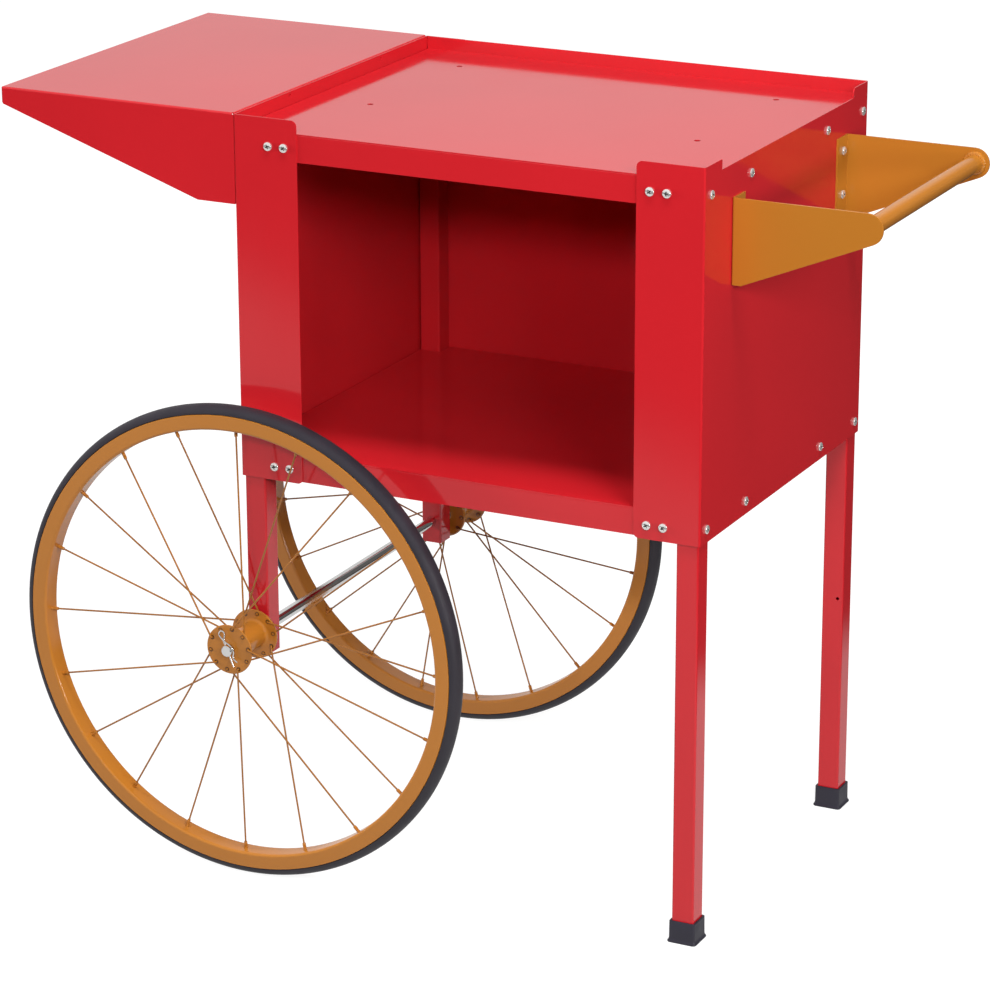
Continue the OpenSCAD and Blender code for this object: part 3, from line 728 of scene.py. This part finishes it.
def floor_material():
    """White paper, endless to the eye, whose mirror image ends where the studio's paper ends."""
    s = Shader("floor_paper")
    s.tree.nodes.remove(s.surface)
    depth, across = (
        s.add("ShaderNodeVectorMath", {0: s.where, 1: axis}, operation="DOT_PRODUCT").outputs["Value"]
        for axis in (toward, rightward)
    )
    slant = {0: across, 1: PAPER_SLANT, 2: depth}
    edge = s.add("ShaderNodeMath", slant, operation="MULTIPLY_ADD").outputs[0]
    front = s.spread(edge, 1.0, 0.0, PAPER_FRONT - 2 * PAPER_SOFT, PAPER_FRONT + 2 * PAPER_SOFT)
    right = s.spread(across, 1.0, 0.0, PAPER_RIGHT - PAPER_SOFT, PAPER_RIGHT + PAPER_SOFT)
    left = s.spread(across, 0.0, 1.0, PAPER_LEFT - PAPER_SOFT, PAPER_LEFT + PAPER_SOFT)
    paper = s.add("ShaderNodeMath", {0: front, 1: right}, operation="MULTIPLY").outputs[0]
    paper = s.add("ShaderNodeMath", {0: paper, 1: left}, operation="MULTIPLY").outputs[0]
    ray = s.add("ShaderNodeLightPath").outputs
    bounce = s.add("ShaderNodeMath", {0: paper, 1: PAPER_DIFFUSE}, operation="MULTIPLY").outputs[0]
    level = s.add("ShaderNodeMix", {"Factor": ray["Is Camera Ray"], 2: bounce, 3: PAPER_SHADE}).outputs[0]
    white = s.add("ShaderNodeCombineColor", {0: level, 1: level, 2: level}).outputs[0]
    matt = s.add("ShaderNodeBsdfDiffuse", {"Color": white}).outputs[0]
    reach = s.add("ShaderNodeVectorMath", {0: s.where}, operation="LENGTH").outputs["Value"]
    glow = s.spread(reach, PAPER_GLOW, 1.0, GLOW_NEAR, GLOW_FAR)
    glow = s.add("ShaderNodeMath", {0: glow, 1: ray["Is Camera Ray"]}, operation="MULTIPLY").outputs[0]
    shine = s.add("ShaderNodeEmission", {"Strength": glow}).outputs[0]
    seen = s.add("ShaderNodeAddShader", {0: matt, 1: shine})
    gloss = s.spread(paper, SURROUND_GLOSS, PAPER_GLOSS)
    mirrored = s.add("ShaderNodeEmission", {"Strength": gloss}).outputs[0]
    made = s.add("ShaderNodeMixShader", {0: ray["Is Glossy Ray"], 1: seen.outputs[0], 2: mirrored})
    output = s.tree.nodes["Material Output"]
    s.put(output, "Surface", made.outputs[0])
    s.material.cycles.emission_sampling = "NONE"
    return s.material


bpy.ops.mesh.primitive_grid_add(x_subdivisions=4, y_subdivisions=4, size=2 * FLOOR_HALF)
floor = bpy.context.object
floor.name = "floor"
floor.data.materials.append(floor_material())

world = bpy.data.worlds.new("studio")
bpy.context.scene.world = world
world.use_nodes = True
background = world.node_tree.nodes["Background"]
background.inputs["Color"].default_value = (1.0, 1.0, 1.0, 1.0)
path = world.node_tree.nodes.new("ShaderNodeLightPath")
strength = world.node_tree.nodes.new("ShaderNodeMix")
# the backdrop that gloss sees ends a little way to the right of the cart
heading = world.node_tree.nodes.new("ShaderNodeTexCoord")
sideways = world.node_tree.nodes.new("ShaderNodeVectorMath")
sideways.operation = "DOT_PRODUCT"
sideways.inputs[1].default_value = rightward
world.node_tree.links.new(heading.outputs["Generated"], sideways.inputs[0])
backdrop = world.node_tree.nodes.new("ShaderNodeMapRange")
for key, value in zip(("From Min", "From Max"), BACKDROP_FADE):
    backdrop.inputs[key].default_value = value
for key, value in (("To Min", WORLD_GLOSS), ("To Max", WORLD_SIDE)):
    backdrop.inputs[key].default_value = value
world.node_tree.links.new(sideways.outputs["Value"], backdrop.inputs["Value"])
world.node_tree.links.new(backdrop.outputs["Result"], strength.inputs[2])
strength.inputs[3].default_value = WORLD_DIFFUSE
world.node_tree.links.new(path.outputs["Is Diffuse Ray"], strength.inputs["Factor"])
world.node_tree.links.new(strength.outputs[0], background.inputs["Strength"])


def softbox(name, azimuth, elevation, width, height, watts, mirrored):
    """An area light that faces the cart; mirrored ones show in glossy surfaces."""
    light = bpy.data.lights.new(name, "AREA")
    light.shape = "RECTANGLE"
    light.size, light.size_y = width, height
    light.energy = watts
    holder = bpy.data.objects.new(name, light)
    bpy.context.scene.collection.objects.link(holder)
    a, e = math.radians(azimuth), math.radians(elevation)
    away = Vector((math.sin(a) * math.cos(e), -math.cos(a) * math.cos(e), math.sin(e)))
    holder.location = LIGHT_AIM + away * LIGHT_DISTANCE
    holder.rotation_mode = "QUATERNION"
    holder.rotation_quaternion = away.to_track_quat("Z", "Y")
    holder.visible_camera = False
    holder.visible_glossy = mirrored


for row in LIGHTS:
    softbox(*row)

camera = bpy.data.objects.new("camera", bpy.data.cameras.new("camera"))
bpy.context.scene.collection.objects.link(camera)
camera.location = CAMERA_AT
camera.rotation_mode = "QUATERNION"
level_turn = (CAMERA_AIM - CAMERA_AT).to_track_quat("-Z", "Y")
camera.rotation_quaternion = level_turn @ Quaternion((0, 0, 1), CAMERA_ROLL)
camera.data.sensor_width = 36.0
camera.data.lens = LENS
camera.data.clip_start, camera.data.clip_end = 0.1, 200.0
bpy.context.scene.camera = camera
bpy.context.scene.view_settings.view_transform = "Standard"
